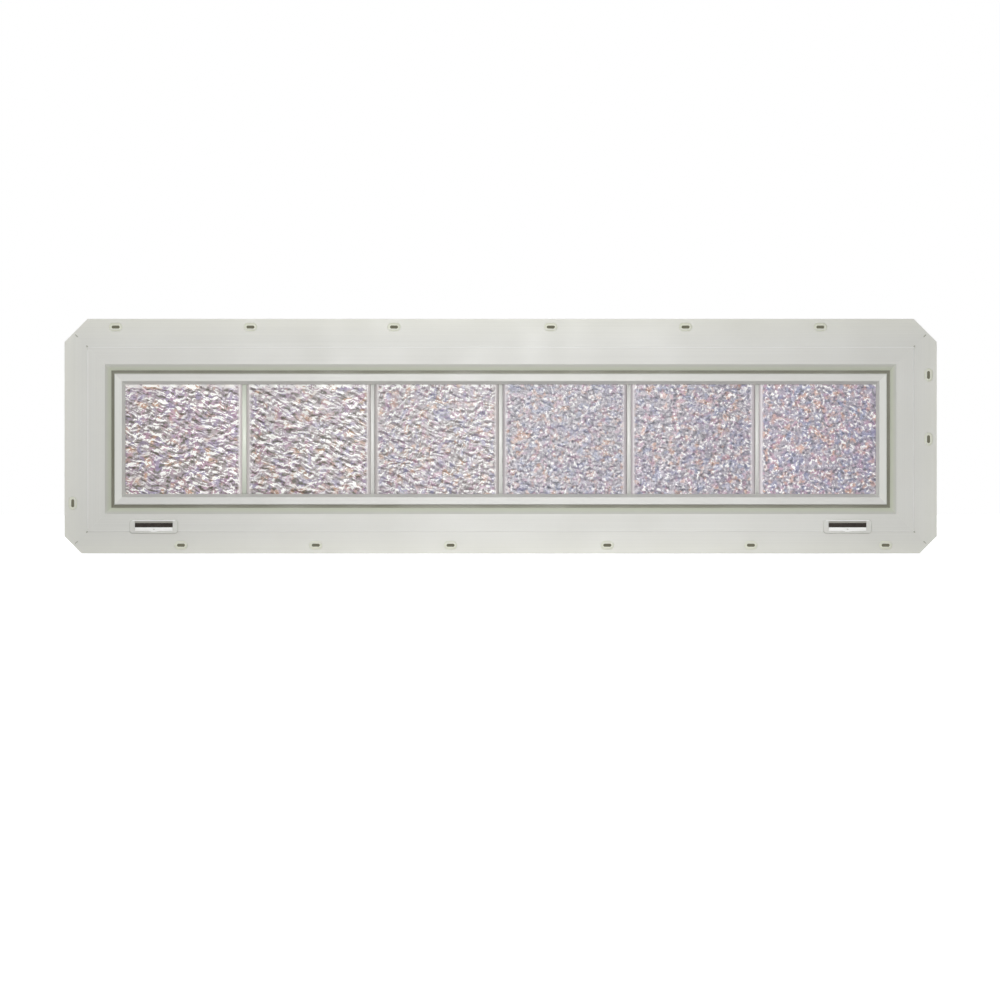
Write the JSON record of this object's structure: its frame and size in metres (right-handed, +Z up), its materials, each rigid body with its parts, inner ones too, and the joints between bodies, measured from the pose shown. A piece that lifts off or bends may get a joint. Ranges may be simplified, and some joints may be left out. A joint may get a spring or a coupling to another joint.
{
  "type": "vinyl-framed glass block window panel with a nailing fin",
  "caption": "Fixed window: hollow patterned glass blocks in one row with strips between them, in a welded vinyl frame with snap-in beads, a nailing fin and weep covers.",
  "frame": {"origin": "the back of the sill's nailing fin, halfway along the window and halfway up the fin", "axes": "+X along the window's width, +Y into the wall and the room, +Z up; the outside of the house is towards -Y"},
  "size_m": [1.3812, 0.0848, 0.3714],
  "materials": {
    "frame_vinyl": "extruded vinyl, pale almond grey",
    "bead_vinyl": "extruded vinyl, a little lighter than the frame",
    "gasket_rubber": "soft extruded gasket",
    "tape_foam": "closed-cell glazing tape",
    "pressed_glass": "pressed glass with a crackled ice pattern",
    "joint_vinyl": "white extruded vinyl",
    "weep_cover_plastic": "moulded plastic matched to the frame",
    "weep_flap_plastic": "white moulded plastic",
    "setting_rubber": "moulded rubber pads"
  },
  "bodies": {
    "root": {"frame_head": "frame_vinyl", "frame_sill": "frame_vinyl", "frame_jamb_left": "frame_vinyl", "frame_jamb_right": "frame_vinyl", "glazing_bead_head": "bead_vinyl", "glazing_bead_sill": "bead_vinyl", "glazing_bead_jamb_left": "bead_vinyl", "glazing_bead_jamb_right": "bead_vinyl", "bead_gasket_head": "gasket_rubber", "glazing_tape_head": "tape_foam", "bead_gasket_sill": "gasket_rubber", "glazing_tape_sill": "tape_foam", "bead_gasket_jamb_left": "gasket_rubber", "glazing_tape_jamb_left": "tape_foam", "bead_gasket_jamb_right": "gasket_rubber", "glazing_tape_jamb_right": "tape_foam", "glass_block_1_front": "pressed_glass", "glass_block_1_back": "pressed_glass", "glass_block_2_front": "pressed_glass", "glass_block_2_back": "pressed_glass", "glass_block_3_front": "pressed_glass", "glass_block_3_back": "pressed_glass", "glass_block_4_front": "pressed_glass", "glass_block_4_back": "pressed_glass", "glass_block_5_front": "pressed_glass", "glass_block_5_back": "pressed_glass", "glass_block_6_front": "pressed_glass", "glass_block_6_back": "pressed_glass", "joint_strip_1": "joint_vinyl", "joint_strip_2": "joint_vinyl", "joint_strip_3": "joint_vinyl", "joint_strip_4": "joint_vinyl", "joint_strip_5": "joint_vinyl", "weep_cover_left": "weep_cover_plastic", "weep_flap_left": "weep_flap_plastic", "weep_cover_right": "weep_cover_plastic", "weep_flap_right": "weep_flap_plastic", "setting_blocks": "setting_rubber"}
  },
  "joints": []
}
